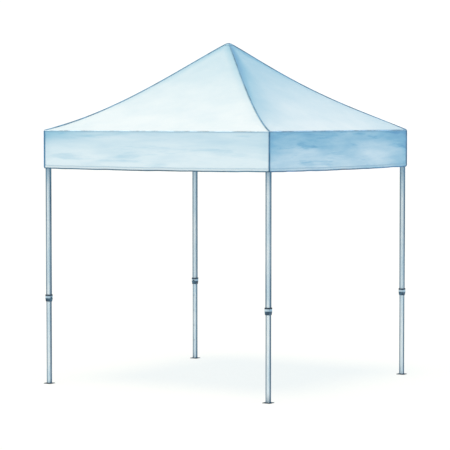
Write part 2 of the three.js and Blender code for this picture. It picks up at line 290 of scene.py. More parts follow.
def roof_wash(p, place, along_hip, right, cloud):
    """How deep the wash is on the roof: darker towards the peak, with random tone, and painted shade on the
    right, deepest beside the front right hip.
    """
    _, y, z = p.axes(place)
    high = p.ramp(z, EAVE + 0.02, PEAK)
    # painted shade on the right: beside the front right hip, near the peak and low towards the rear
    beside = p.sum("MULTIPLY", p.ramp(along_hip, 0.25, 0.95), p.ramp(z, EAVE - 0.06, EAVE + 0.28))
    beside = p.sum("MULTIPLY", beside, p.ramp(y, 0.05, -0.05))
    wash = p.sum("MULTIPLY", p.ramp(z, EAVE, EAVE + 0.45), 0.19)
    wash = p.sum("ADD", p.sum("MULTIPLY", high, 0.31), wash)
    top = p.sum("MULTIPLY", p.ramp(z, PEAK - 0.42, PEAK), 0.22)
    shade = p.sum("ADD", p.sum("MULTIPLY", beside, 0.45), top)
    far_low = p.sum("MULTIPLY", p.ramp(z, EAVE + 0.45, EAVE + 0.08), p.ramp(y, 0.35, 1.0))
    shade = p.sum("ADD", shade, p.sum("MULTIPLY", far_low, 0.16))
    wash = p.sum("ADD", wash, p.sum("MULTIPLY", right, p.sum("ADD", shade, 0.11)))
    return p.sum("ADD", wash, p.sum("MULTIPLY", cloud, 0.75)), high


def valance_wash(p, place, down, to_hip, right):
    """How deep the wash is on the valance: random streaks, with painted shade that deepens towards the
    eaves, at the top towards the left, and on the right.
    """
    x, y, _ = p.axes(place)
    streak = p.sum("SUBTRACT", p.noise(place, (1.2, 1.2, 7.5), 5.0, 0.58), 0.5)
    left_end = p.sum("MULTIPLY", p.ramp(x, -0.2, -1.2), p.ramp(down, 0.45, 0.0))
    wash = p.sum("MULTIPLY", p.ramp(down, 0.8, 0.0), 0.38)
    wash = p.sum("ADD", wash, p.sum("MULTIPLY", left_end, 0.50))
    wash = p.sum("ADD", wash, 0.06)
    smudge = p.ramp(p.noise(place, (1.9, 1.9, 17.0), 5.0, 0.58), 0.54, 0.72)
    wash = p.sum("ADD", wash, p.sum("MULTIPLY", smudge, 0.30))
    wash = p.sum("ADD", wash, p.sum("MULTIPLY", streak, 1.15))
    # painted shade on the right side, deeper near the corners and towards the rear
    wash = p.sum("MULTIPLY", wash, p.sum("ADD", 1.0, p.sum("MULTIPLY", right, 0.85)))
    ends = p.sum("ADD", 0.12, p.sum("MULTIPLY", p.ramp(to_hip, 0.50, 0.05), 0.26))
    ends = p.sum("ADD", ends, p.sum("MULTIPLY", p.ramp(y, 0.20, 1.15), 0.22))
    return p.sum("ADD", wash, p.sum("MULTIPLY", right, ends))


def dyed_and_shaded(p, place, plain):
    """The cloth's colour with its painted shade, and the slow cloudy noise that its roughness follows too.
    """
    x, y, z = p.axes(place)
    width, depth = p.sum("ABSOLUTE", x), p.sum("ABSOLUTE", y)
    big, small = p.sum("MAXIMUM", width, depth), p.sum("MINIMUM", width, depth)
    to_hip = p.sum("SUBTRACT", big, small)
    along_hip = p.sum("DIVIDE", small, p.sum("ADD", big, 0.001))
    right = p.ramp(p.sum("SUBTRACT", x, depth), -0.003, 0.003)
    cloud = p.sum("SUBTRACT", p.noise(place, (1.5, 1.5, 3.2), 5.0, 0.6), 0.5)
    down = p.sum("DIVIDE", p.sum("SUBTRACT", EAVE, z), VALANCE_DEPTH)
    hanging = p.ramp(down, -0.004, 0.01)
    roof, high = roof_wash(p, place, along_hip, right, cloud)
    share = p.mix(hanging, roof, valance_wash(p, place, down, to_hip, right))
    # painted shade along the hips and down the corners, deeper towards the peak
    edge = p.sum("ADD", 0.12, p.sum("MULTIPLY", high, 0.26))
    share = p.sum("ADD", share, p.sum("MULTIPLY", p.ramp(to_hip, 0.11, 0.0), edge))
    colour = p.mix(share, plain, WASH)
    # the deepest painted shade, where the wash is deepest
    colour = p.mix(p.sum("MULTIPLY", p.ramp(share, 0.80, 1.70), 0.9), colour, DEEP_SHADE_WASH)
    # a cooler tint on the hanging valance: painted cool light on its upright faces
    cool = p.mix(hanging, (1, 1, 1), (0.985, 1.035, 1.065))
    return p.add("VectorMath", {0: colour, 1: cool}, operation="MULTIPLY").outputs[0], cloud


def fabric(name, plain, inside=False):
    """Woven polyester with stitched seams, and painted shade in its colour. Its inside is coated, and shows
    less of the blue and of the painted shade.
    """
    p = Paint(name)
    rest = p.add("Attribute", attribute_name="rest").outputs["Vector"]
    colour, cloud = dyed_and_shaded(p, rest, plain)
    if inside:
        colour = p.mix(0.55, colour, COATING)
    cut_u, cut_v, _ = p.axes(p.add("UVMap", uv_map="cut").outputs[0])
    thread = 2 * math.pi / THREAD_PITCH
    weave = p.sum("MULTIPLY", p.sum("SINE", p.sum("MULTIPLY", cut_u, thread)),
                  p.sum("SINE", p.sum("MULTIPLY", cut_v, thread)))
    normal = p.bump(weave, 0.0003, 0.12)
    away, along, _ = p.axes(p.add("UVMap", uv_map="seam").outputs[0])
    tape = p.ramp(away, TAPE_WIDTH + 0.0005, TAPE_WIDTH - 0.0005)
    gap = p.ramp(p.sum("FRACT", p.sum("DIVIDE", along, STITCH_PITCH)), 0.62, 0.66)
    line = p.ramp(p.sum("ABSOLUTE", p.sum("SUBTRACT", away, STITCH_IN)), 0.0009, 0.0005)
    stitch = p.sum("MULTIPLY", line, p.sum("SUBTRACT", 1.0, gap))
    colour = p.mix(p.sum("MULTIPLY", tape, 0.30), colour, WASH)
    colour = p.mix(p.sum("MULTIPLY", stitch, 0.7), colour, THREAD)
    raised = p.sum("ADD", tape, p.sum("MULTIPLY", stitch, 0.8))
    normal = p.bump(raised, 0.0006, 0.8, normal)
    crease = p.noise(rest, (5.0, 5.0, 7.0), 6.0, 0.6)
    p.set(Normal=p.bump(crease, 0.010, 0.22, normal), Base_Color=colour)
    return p.set(Roughness=p.sum("ADD", 0.78, p.sum("MULTIPLY", cloud, 0.25)),
                 Sheen_Weight=0.2, Sheen_Roughness=0.5, Specular_IOR_Level=0.25)


def cord(name, colour, pitch=0.004, near=None, middle=0.0):
    """Covered piping or webbing, with a twill rib.

    Near is its colour on the sides other than the right one; the difference between them is painted light
    and shade. Middle is how much painted shade darkens it midway along a side.
    """
    p = Paint(name)
    rest = p.add("Attribute", attribute_name="rest").outputs["Vector"]
    x, y, _ = p.axes(rest)
    # the right side's colour against the others' is painted light and shade
    right = p.ramp(p.sum("SUBTRACT", x, p.sum("ABSOLUTE", y)), -0.02, 0.02)
    tint = p.mix(right, tuple(n / c for n, c in zip(near or colour, colour)), (1, 1, 1))
    along, across, _ = p.axes(p.add("UVMap", uv_map="cut").outputs[0])
    lean = p.sum("ADD", along, p.sum("MULTIPLY", across, 0.7))
    rib = p.sum("SINE", p.sum("MULTIPLY", lean, 2 * math.pi / pitch))
    cloud = p.noise(rest, (7.0, 7.0, 7.0), 4.0, 0.6)
    tone = p.mix(p.ramp(cloud, 0.35, 0.68), times(colour, 1.75), times(colour, 0.75))
    # painted highlight on the crests of the rib
    tone = p.mix(p.ramp(rib, 0.3, 0.9), tone, times(colour, 1.3))
    tone = p.add("VectorMath", {0: tone, 1: tint}, operation="MULTIPLY").outputs[0]
    # painted shade midway along a side
    aside = p.ramp(p.sum("MINIMUM", p.sum("ABSOLUTE", x), p.sum("ABSOLUTE", y)), 0.85, 0.20)
    tone = p.mix(p.sum("MULTIPLY", aside, middle), tone, HEM_SHADE)
    normal = p.bump(rib, 0.0003, 0.5)
    return p.set(Base_Color=tone, Roughness=0.75, Normal=normal, Specular_IOR_Level=0.3)


def metal(name, light, dark, metallic=0.6, leg=False):
    """Drawn aluminium with a fine grain along it, and painted shade on its edges."""
    p = Paint(name)
    place = p.add("TexCoord").outputs["Object"]
    grain = p.noise(place, (260.0, 260.0, 5.0), 4.0, 0.6)
    cloud = p.noise(place, (9.0, 9.0, 3.0), 3.0, 0.5)
    tone = p.sum("ADD", p.sum("MULTIPLY", grain, 0.4), p.sum("MULTIPLY", cloud, 0.6))
    colour = p.mix(p.ramp(tone, 0.36, 0.62), dark, light)
    edge, near = p.rounded(0.0022)
    # painted shade on the edges
    colour = p.mix(p.sum("MULTIPLY", near, 0.5), colour, METAL_SHADE)
    normal = p.bump(grain, 0.0004, 0.2, edge)
    rough = p.sum("ADD", 0.30, p.sum("MULTIPLY", grain, 0.2))
    if leg:
        colour, groove = leg_shade_and_grooves(p, place, colour)
        normal = p.bump(p.sum("SUBTRACT", 1.0, groove), 0.0012, 0.7, normal)
        z = p.axes(place)[2]
        # painted shade in blotches towards the foot
        foot_shade = p.sum("MULTIPLY", p.ramp(z, 0.11, 0.0), p.ramp(cloud, 0.42, 0.62))
        colour = p.mix(p.sum("MULTIPLY", foot_shade, 0.55), colour, METAL_SHADE)
        # the foot plate: dark coat, near black and without shine, and partly a painted shade where it meets
        # the floor
        plate = p.ramp(z, FOOT_TOP + 0.0005, FOOT_TOP - 0.0005)
        colour = p.mix(plate, colour, p.mix(p.ramp(tone, 0.4, 0.6), *PLATE_TONES))
        rough = p.sum("ADD", rough, p.sum("MULTIPLY", plate, 0.4))
        metallic = p.sum("MULTIPLY", p.sum("SUBTRACT", 1.0, plate), metallic)
    return p.set(Base_Color=colour, Metallic=metallic, Roughness=rough, Normal=normal)


def leg_shade_and_grooves(p, place, colour):
    """A leg's colour with its shallow grooves, painted shade in the grooves and on its corners, and a
    painted shadow of the valance on its top, and where the grooves are.
    """
    x, y, z = p.axes(place)
    u = p.sum("ABSOLUTE", p.sum("SUBTRACT", p.sum("ABSOLUTE", x), LEG))
    v = p.sum("ABSOLUTE", p.sum("SUBTRACT", p.sum("ABSOLUTE", y), LEG))
    across = p.sum("DIVIDE", p.sum("MINIMUM", u, v), p.sum("MAXIMUM", u, v))
    groove = p.ramp(p.sum("ABSOLUTE", p.sum("SUBTRACT", across, 0.42)), 0.07, 0.015)
    # painted shade in the grooves
    colour = p.mix(p.sum("MULTIPLY", groove, 0.25), colour, METAL_SHADE)
    # places across the leg from its centre, and the painted shade that deepens towards two of its corners
    right = p.sum("SUBTRACT", x, p.sum("MULTIPLY", p.sum("SIGN", x), LEG))
    rear = p.sum("SUBTRACT", y, p.sum("MULTIPLY", p.sum("SIGN", y), LEG))
    both = p.sum("ADD", right, rear)
    rear_right = p.ramp(both, 0.001, 0.019)
    front_left = p.sum("MULTIPLY", p.ramp(both, -0.016, -0.031), 0.82)
    depth = p.ramp(p.noise(place, (0.7, 0.7, 1.1), 2.0), 0.30, 0.62)
    corner_shade = p.sum("MULTIPLY", p.sum("MAXIMUM", rear_right, front_left),
                  p.sum("ADD", 0.72, p.sum("MULTIPLY", depth, 0.22)))
    colour = p.mix(corner_shade, colour, METAL_SHADE)
    # lighter painted shade towards the other two corners
    apart = p.sum("ABSOLUTE", p.sum("SUBTRACT", right, rear))
    colour = p.mix(p.sum("MULTIPLY", p.ramp(apart, 0.032, 0.038), 0.22), colour, METAL_SHADE)
    # painted shadow of the valance on the top of the leg
    top = p.sum("MULTIPLY", p.ramp(z, HEM - 0.25, HEM + 0.02), 0.50)
    return p.mix(top, colour, VALANCE_SHADOW_ON_LEG), groove


def moulding(name, light, dark, roughness=0.5, collar=False):
    """Moulded nylon: fine grain, a little dust and a painted highlight on its edges. A collar has a pale
    band, partly printed and partly a painted highlight, and painted shade on its edges.
    """
    p = Paint(name)
    place = p.add("TexCoord").outputs["Object"]
    grain = p.noise(place, (900.0,) * 3, 2.0, 0.5)
    cloud = p.noise(place, (30.0,) * 3, 4.0, 0.6)
    colour = p.mix(p.ramp(cloud, 0.35, 0.66), dark, light)
    edge, near = p.rounded(0.0016)
    if collar:
        z = p.axes(place)[2]
        # a pale band: partly a printed band, partly a painted highlight
        low = p.ramp(z, BAND_LOW - 0.002, BAND_LOW + 0.002)
        band = p.sum("MULTIPLY", low, p.ramp(z, BAND_HIGH + 0.001, BAND_HIGH - 0.001))
        colour = p.mix(band, colour, p.mix(p.ramp(cloud, 0.35, 0.66), *BAND_TONES))
        colour = p.mix(p.ramp(z, BAND_HIGH, BAND_HIGH + 0.0015), colour, FLANGE_DARK)
        # painted shade on the collar's edges
        colour = p.mix(p.sum("MULTIPLY", near, 0.55), colour, COLLAR_EDGE)
    else:
        # painted highlight on the edges
        colour = p.mix(p.sum("MULTIPLY", near, 0.35), colour, times(light, 1.9))
    rough = p.sum("ADD", roughness - 0.12, p.sum("MULTIPLY", cloud, 0.25))
    normal = p.bump(grain, 0.0003, 0.25, edge)
    return p.set(Base_Color=colour, Roughness=rough, Normal=normal, Specular_IOR_Level=0.3)


CLOTH_BLUE = fabric("canopy_cloth", PLAIN)
CLOTH_INSIDE = fabric("canopy_coating", PLAIN, inside=True)
HEM_BLUE = fabric("hem_tape", times(PLAIN, 0.93))
# The right side's colour against the near one is painted light and shade: the hip and eave piping are
# darker on the right, the hem binding darker on the other sides. The hem binding's dark colour is also a
# painted shadow line under the hem.
HIP_BLUE = cord("hip_piping", (0.105, 0.215, 0.335), near=(0.165, 0.30, 0.405))
EAVE_BLUE = cord("eave_piping", (0.33, 0.47, 0.60), near=(0.58, 0.69, 0.75))
HEM_DARK = cord("hem_binding", (0.085, 0.19, 0.32), near=(0.035, 0.11, 0.18), middle=0.45)
CORNER_BLUE = cord("corner_piping", (0.075, 0.19, 0.31))
WEBBING = cord("strap_webbing", (0.08, 0.13, 0.18), 0.0026)
LEG_SILVER = metal("leg_silver", (0.88, 0.935, 0.95), (0.62, 0.77, 0.85), 0.45, leg=True)
BAR_SILVER = metal("bar_silver", (0.62, 0.70, 0.77), (0.42, 0.50, 0.58))
RIVET_STEEL = metal("rivet_steel", (0.46, 0.52, 0.57), (0.28, 0.33, 0.38), 0.85)
WELD_STEEL = metal("weld_steel", (0.24, 0.30, 0.35), (0.10, 0.14, 0.18), 0.7)
BRACKET_GREY = moulding("bracket_grey", (0.15, 0.22, 0.29), (0.09, 0.14, 0.19))
COLLAR_BLUE = moulding("collar_blue", (0.085, 0.18, 0.26), (0.02, 0.05, 0.085), 0.50, collar=True)
BUTTON_DARK = moulding("button_dark", (0.04, 0.07, 0.10), (0.025, 0.04, 0.06), 0.38)

# ---- The frame's own nodes ----
NODE_PAINT = (
    ("outer_leg", LEG_SILVER),
    ("inner_leg", LEG_SILVER),
    ("cross_bar", BAR_SILVER),
    ("side_bar", BAR_SILVER),
    ("peak_pole", BAR_SILVER),
    ("leg_collar", COLLAR_BLUE),
    ("leg_button", BUTTON_DARK),
    ("", BRACKET_GREY),  # the rest
)
SMOOTH_BELOW = math.radians(46)
EDGE_ROUND = 0.0006

for name, obj in NODES.items():
    obj.data.materials.clear()
    obj.data.materials.append(next(paint for start, paint in NODE_PAINT if name.startswith(start)))
    obj.data.shade_smooth()
    obj.data.set_sharp_from_angle(angle=SMOOTH_BELOW)
    soften = obj.modifiers.new("soften", "BEVEL")
    soften.width = EDGE_ROUND
    soften.segments = 2
    soften.limit_method = "ANGLE"
    soften.angle_limit = SMOOTH_BELOW

# ---- The cloth's shape: every point is a place round the canopy and a place down it ----
# round_ runs from 0 to 4, one per side. Down runs from 0 at the peak to 1 at the eaves and 2 at the hem.
WAVES = ((3, 0.9, 0.3), (5, 2.1, 0.25), (8, 4.0, 0.25), (13, 1.3, 0.2))  # count per side, phase, share
WAVE_DEPTH = 0.007
DROOP = 0.007  # of the hem between the legs
SLACK = 0.010  # of the roof between its hips
CORNER_FOLD = 0.004
PEAK_FOLD = 0.004
CORNER_ROUND = 0.010
PEAK_ROUND = 0.026  # how far out the peak is rounded
TINY = 1e-9
BEFORE = 1e-6  # keeps a place on the side before a corner


def along_side(round_):
    """Where a place round the canopy is along its side, from -1 to 1."""
    return 2 * (round_ - np.floor(round_ + TINY)) - 1


def square_point(round_, half):
    """x and y at a place round a square with slightly round corners."""
    side = np.floor(round_ + TINY).astype(int) % 4
    s = along_side(round_)
    x, y = half * np.ones_like(s), half * s
    radius = np.minimum(CORNER_ROUND, half)
    dx, dy = np.abs(x) - (half - radius), np.abs(y) - (half - radius)
    inside = (dx > 0) & (dy > 0)
    shrink = np.where(inside, radius / np.maximum(np.hypot(dx, dy), TINY), 1)
    x = np.where(inside, np.sign(x) * (half - radius + dx * shrink), x)
    y = np.where(inside, np.sign(y) * (half - radius + dy * shrink), y)
    angle = side * np.pi / 2
    return x * np.cos(angle) - y * np.sin(angle), x * np.sin(angle) + y * np.cos(angle)


def roof_height(share, sagging):
    """The roof's height at a share of the way out from the peak to the eaves, with so much of its sag."""
    power = SAG_PLACE / (1 - SAG_PLACE)
    hang = (share / SAG_PLACE) ** power * (1 - share) / (1 - SAG_PLACE)
    steep = (PEAK - EAVE) / HALF
    blunt = 1 - np.maximum(0, 1 - share * HALF / PEAK_ROUND) ** 2
    rounding = steep * PEAK_ROUND / 2 * blunt * (1 - share) ** 2
    return EAVE + (PEAK - EAVE) * (1 - share) - SAG * sagging * hang + rounding


def slack(x, y):
    """How much of its sag the roof has at a place.

    The two front hips hang slacker, and the rear right hip sags nearer the peak.
    """
    half = np.maximum(np.maximum(np.abs(x), np.abs(y)), TINY)
    from_front_right = (2 - x / half + y / half) / 2
    from_front_left = (2 + x / half + y / half) / 2
    from_rear_right = (2 - x / half - y / half) / 2
    front = 0.42 * smooth(1 - from_front_right) + 0.26 * smooth(1 - from_front_left)
    return 0.90 + front + 1.25 * (0.55 - half / HALF) * smooth(1 - from_rear_right)


def cloth_point(round_, down, proud=0.0):
    """Points on the cloth at rest, or proud metres outside it."""
    round_, down = np.broadcast_arrays(np.asarray(round_, float), np.asarray(down, float))
    s = along_side(round_)
    side = np.floor(round_ + TINY) % 4
    t = np.clip(down, 0, 1)
    w = np.clip(down - 1, 0, 1)
    x, y = square_point(round_, HALF * t)
    z = roof_height(t, slack(x, y))
    # loose cloth between the hips, and small folds that run out from the corners and the peak
    free = np.clip(1 - s**2, 0, 1)
    z = z - SLACK * free * np.sin(np.pi * t) * (0.7 + 0.3 * np.cos(3 * s + side))
    from_corner = np.hypot((1 - np.abs(s)) * t, 1 - t) * HALF
    bearing = np.arctan2((1 - np.abs(s)) * t, 1 - t + 1e-6)
    fade = np.exp(-from_corner / 0.28) * smooth(from_corner / 0.12) * smooth((1 - t) / 0.03)
    z = z + CORNER_FOLD * np.sin(11 * bearing + side) * fade
    fade = free * np.exp(-t * HALF / 0.30) * smooth((t - 0.04) / 0.08)
    z = z + PEAK_FOLD * np.sin(9 * s + 2 * side) * fade
    # the valance hangs with shallow waves that open towards the hem, always outwards
    turns = 2 * np.pi * (s + 1) / 2
    wave = sum(share * np.sin(count * turns + phase + 1.7 * side) for count, phase, share in WAVES)
    pinned = smooth((1 - np.abs(s)) / 0.12)
    out = WAVE_DEPTH * w**1.3 * (0.5 + 0.5 * wave) * pinned
    z = z - w * VALANCE_DEPTH - 0.002 * w * wave * pinned - DROOP * w * free
    slope = math.hypot((PEAK - EAVE) / HALF, 1)
    nx = np.where(w > 0, 1.0, (PEAK - EAVE) / HALF / slope)
    nz = np.where(w > 0, 0.0, 1 / slope)
    angle = side * np.pi / 2
    reach = out + proud * nx
    x, y = x + reach * np.cos(angle), y + reach * np.sin(angle)
    return np.stack([x, y, z + proud * nz], -1)


# ---- How cloth follows the folding frame ----
# The four upper middle brackets only move inwards and the lower hub only moves down, so a point that
# follows each by a share gathers in both directions. The shares differ along a pleat, so pleats open as the
# frame folds.
MOVERS = (  # body, and the axis and the sign of its side
    ("mid_upper_right", 0, 1),
    ("mid_upper_left", 0, -1),
    ("mid_upper_rear", 1, 1),
    ("mid_upper_front", 1, -1),
)
PLEATS = 14  # along a side
PLEAT_DEPTH = 0.045
REST_ON = 2.297  # the height that the folded roof rests at
HEAP = 0.16  # of the folded roof's pleats above that


def folded_moves():
    """How far the middle brackets move inwards and the lower hub moves down when the frame is folded."""
    hub, outer = Vector(JOINTS["fold"]["pos_m"]), Vector(JOINTS["mid_lower_right"]["pos_m"])
    span, drop = outer.x - hub.x, hub.z - outer.z
    bar, start = math.hypot(span, drop), math.atan2(drop, span)
    end = start + math.radians(JOINTS["fold"]["range_deg"][1])
    return bar * (math.cos(start) - math.cos(end)), bar * (math.sin(end) - math.sin(start))


INWARDS, DOWNWARDS = folded_moves()


def note_rest(obj):
    """Keeps where each point of a piece is at rest, for its material, and returns the points."""
    co = np.array([v.co for v in obj.data.vertices], float).reshape(-1, 3)
    note = obj.data.attributes.new("rest", "FLOAT_VECTOR", "POINT")
    note.data.foreach_set("vector", co.astype(np.float32).ravel())
    return co


def gather(obj):
    """Hooks a piece of cloth to each mover, weighted by where each point is at rest."""
    co = note_rest(obj)
    t = np.max(np.abs(co[:, :2]), axis=1) / HALF
    sideways = np.where(np.abs(co[:, 0]) >= np.abs(co[:, 1]), co[:, 1], co[:, 0])
    across = sideways / HALF / np.maximum(t, TINY)
    pleat = 0.5 - 0.5 * np.cos(np.pi * PLEATS * (across + 1))
    below = smooth((EAVE + 0.01 - co[:, 2]) / 0.08)
    open_ = below * pleat * smooth((1 - np.abs(across)) / 0.06)
    for body, axis, sign in MOVERS:
        along = co[:, axis] / HALF * sign
        faces = (np.abs(co[:, axis]) >= np.abs(co[:, 1 - axis])) & (along > 0)
        add_hook(obj, body, np.clip(along, 0, 1) - np.where(faces, open_ * PLEAT_DEPTH / INWARDS, 0))
    height = roof_height(np.clip(t, 0, 1), slack(co[:, 0], co[:, 1]))
    crown = HEAP * pleat * np.sin(np.pi * np.clip(t, 0, 1)) ** 0.8
    drop = height - np.minimum(REST_ON + crown, height)
    add_hook(obj, "lower_hub", np.where(co[:, 2] > EAVE - 0.02, drop / DOWNWARDS, 0))


def add_hook(obj, body, weight):
    group = obj.vertex_groups.new(name=body)
    for i, value in enumerate(np.clip(weight, 0, 1)):
        if value > 1e-5:
            group.add([i], float(value), "REPLACE")
    hook = obj.modifiers.new(body, "HOOK")
    hook.object = BODIES[body]
    hook.vertex_group = group.name
    hook.matrix_inverse = BODIES[body].matrix_world.inverted()


def cloth_piece(name, points, faces, material, uvs, thickness=None, offset=-1):
    """A piece of the canopy's cloth, which gathers as the frame folds."""
    obj = mesh_object(name, points, faces, material, uvs)
    gather(obj)
    if thickness:
        thicken(obj, thickness, offset)
    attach(obj, "hub")
    return obj


# ---- Canopy cloth ----
SLANT = math.hypot(PEAK - EAVE, HALF)
HIP = math.hypot(SLANT, HALF)


def sewn(round_, downs):
    """UV maps of a grid on the cloth: places on the cut cloth, and distances from and along a seam."""
    round_, downs = np.broadcast_arrays(round_, downs)
    s = along_side(round_)
    t, w = np.clip(downs, 0, 1), np.clip(downs - 1, 0, 1)
    down = t * SLANT + w * VALANCE_DEPTH
    hip = (1 - np.abs(s)) * HALF * np.where(w > 0, 1, t * SLANT / HIP)
    eave = (1 - t) * SLANT + w * VALANCE_DEPTH
    around = round_ * 2 * HALF
    away = np.minimum(hip, eave)
    along = np.where(hip < eave, np.where(w > 0, down, t * HIP), around)
    return {"cut": uv_rows(around, down), "seam": uv_rows(away, along)}


def canopy_cloth():
    """The roof and valance, as one sheet."""
    columns = 4 * COLUMNS
    round_ = np.arange(columns)[None, :] / COLUMNS
    downs = np.concatenate([
        np.linspace(0, 1, ROOF_ROWS + 1)[1:] ** 1.3,
        1 + np.linspace(0, 1, VALANCE_ROWS + 1)[1:],
    ])
    grid = cloth_point(round_, downs[:, None])
    uvs = {name: np.vstack([[[0, 0]], uv]) for name, uv in sewn(round_, downs[:, None]).items()}
    points = np.vstack([[cloth_point(0.5, 0.0)], grid.reshape(-1, 3)])
    faces = [(0, 1 + j, 1 + (j + 1) % columns) for j in range(columns)]
    faces += grid_faces(len(downs), columns, first=1)
    obj = cloth_piece("canopy_cloth", points, faces, CLOTH_BLUE, uvs, CLOTH)
    obj.data.materials.append(CLOTH_INSIDE)
    obj.modifiers["cloth"].material_offset = 1
    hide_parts("canopy")
    return obj


HIP_PIPING = 0.0053  # radii
CORNER_PIPING = 0.0070
STOUTER = 1.3  # the piping on the corners other than the front right one
EAVE_PIPING = 0.0036
HEM_BINDING = 0.0046
HEM_HEIGHT = 0.028
OUTSIDE = 0.0012  # how far a second layer lies outside the cloth's face
UNDERNEATH = -0.0022
CAP_OUTSIDE = 0.0016


def piping(name, path, radius, material, closed=False):
    points, faces, uv = tube(path, radius, closed=closed)
    return cloth_piece(name, points, faces, material, {"cut": uv})


def seams():
    """Covered piping down the hips and the corners, and round the eaves and the hem."""
    made = []
    for k, corner in enumerate(CORNERS):
        hip = cloth_point(k + 1.0 - BEFORE, np.linspace(0.003, 1, 90), HIP_PIPING * 0.5)
        made.append(piping(f"hip_piping_{corner}", hip, HIP_PIPING, HIP_BLUE))
        edge = cloth_point(k + 1.0 - BEFORE, np.linspace(1.004, 1.990, 24))
        radius = CORNER_PIPING if corner == "front_right" else CORNER_PIPING * STOUTER
        made.append(piping(f"corner_piping_{corner}", edge, radius, CORNER_BLUE))
    around = np.arange(4 * COLUMNS) / COLUMNS
    made.append(piping("eave_piping", cloth_point(around, 1.0), EAVE_PIPING, EAVE_BLUE, closed=True))
    made.append(piping("hem_binding", cloth_point(around, 2.0), HEM_BINDING, HEM_DARK, closed=True))
    return made


def hem():
    """The turned-up hem round the bottom of the valance, on both faces of the cloth."""
    around = np.arange(4 * COLUMNS) / COLUMNS
    top = 2 - HEM_HEIGHT / VALANCE_DEPTH
    rows = np.concatenate([np.linspace(top, 1.995, 5), np.linspace(1.995, top, 5)])
    proud = np.repeat([OUTSIDE, UNDERNEATH], 5)
    rings = np.array([cloth_point(around, down, out) for down, out in zip(rows, proud)])
    flat = np.linspace(0, 2 * HEM_HEIGHT, len(rows))[:, None]
    away = (rows[:, None] - top) * VALANCE_DEPTH + 0.004
    uvs = {"cut": uv_rows(around * 2 * HALF, flat), "seam": uv_rows(away, around * 2 * HALF)}
    faces = grid_faces(len(rows), len(around))
    return cloth_piece("valance_hem", rings.reshape(-1, 3), faces, HEM_BLUE, uvs)


def patch(name, round_range, down_range, proud, material=CLOTH_INSIDE, steps=24):
    """A second layer of cloth sewn over part of the first, with a line of stitches inside its edges."""
    round_ = np.linspace(*round_range, steps)[None, :]
    down = np.linspace(*down_range, steps)[:, None]
    grid = cloth_point(round_ % 4, down, proud)
    u, v = np.broadcast_arrays(round_ * 2 * HALF * down, down * SLANT)
    from_side = np.minimum(u - u[:, :1], u[:, -1:] - u)
    from_end = np.minimum(v - v[:1], v[-1:] - v)
    uvs = {"cut": uv_rows(u, v), "seam": uv_rows(np.minimum(from_side, from_end), u + v)}
    faces = grid_faces(steps, steps, closed=False)
    return cloth_piece(name, grid.reshape(-1, 3), faces, material, uvs, CLOTH, 0)


def reinforcements():
    """Patches under the roof at its corners and its peak, and a cap over the peak."""
    made = []
    for k, corner in enumerate(CORNERS):
        for way, end in ((-1, "a"), (1, "b")):
            spread = sorted((k + 1 + way * 0.002, k + 1 + way * 0.10))
            made.append(patch(f"corner_patch_{corner}_{end}", spread, (0.88, 0.996), UNDERNEATH))
    for side, name in enumerate(SIDES):
        inside = (side + 0.002, side + 0.998)
        made.append(patch(f"peak_patch_{name}", inside, (0.02, 0.16), UNDERNEATH))
        whole = (side, side + 1 - BEFORE)
        made.append(patch(f"peak_cap_{name}", whole, (0.0005, 0.030), CAP_OUTSIDE, HEM_BLUE, 12))
    return made


cloth = canopy_cloth()
sewn_on = [*seams(), hem(), *reinforcements()]


# ---- Fittings on the frame ----
INNER_HALF = 0.018  # half the width of the leg tubes
OUTER_HALF = 0.020
STRAP_LOW, STRAP_HIGH = 2.150, 2.180
STRAP_THICK = 0.0011
LAP = 0.07  # how much wider the strap's ring is where its end laps over
WELD_RADIUS = 0.0021


def fitting(obj, body):
    """A piece that rides on one body."""
    note_rest(obj)
    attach(obj, body)


def square_path(half, corner, z, steps=5):
    """Points round a square with round corners."""
    angles = np.linspace(0, math.pi / 2, steps)
    path = []
    for k in range(4):
        turned = angles + k * math.pi / 2
        centre = quarter([[half - corner, half - corner, z]], k)[0]
        path += [centre + [corner * math.cos(a), corner * math.sin(a), 0] for a in turned]
    return np.array(path)


def foot_weld(corner, turns):
    """The bead of weld between a leg and its foot plate."""
    path = square_path(INNER_HALF + 0.0008, 0.004, FOOT_TOP + 0.0002, 9)
    beads = np.repeat(path, 2, axis=0)
    beads[1::2] = (path + np.roll(path, -1, 0)) / 2
    ripple = WELD_RADIUS + 0.0004 * np.sin(np.arange(len(beads)) * 2.3)
    points, faces, uv = tube(quarter(beads, turns, (LEG, LEG, 0)), ripple, closed=True)
    weld = mesh_object(f"foot_weld_{corner}", points, faces, WELD_STEEL, {"cut": uv})
    fitting(weld, f"inner_leg_{corner}")


def leg_strap(corner, turns):
    """The webbing strap that ties the canopy to the top of a leg, with its end lapped over itself."""
    ring = square_path(OUTER_HALF + 0.0014, 0.005, 0)
    path = np.vstack([ring[-6:], ring, ring[:1]])
    share = np.linspace(0, 1, len(path))
    path = path * (1 + LAP * smooth((0.32 - share) / 0.1))[:, None]
    rows = np.linspace(STRAP_LOW, STRAP_HIGH, 5)
    points = quarter([[x, y, z] for z in rows for x, y, _ in path], turns, (LEG, LEG, 0))
    uv = uv_rows(lengths(path)[None, :], (rows - STRAP_LOW)[:, None])
    faces = grid_faces(len(rows), len(path), closed=False)
    strap = mesh_object(f"leg_strap_{corner}", points, faces, WEBBING, {"cut": uv})
    thicken(strap, STRAP_THICK, 0)
    fitting(strap, f"leg_{corner}")


# A rivet head's outline, as shares of its radius and its rise.
DOME = np.array([(1.04, -0.10), (1.04, 0.12), (0.94, 0.34), (0.74, 0.62), (0.46, 0.86), (0.18, 0.98)])
HEAD_SIDES = 20
HEAD_RADIUS = 0.0075
HEAD_RISE = 0.0022


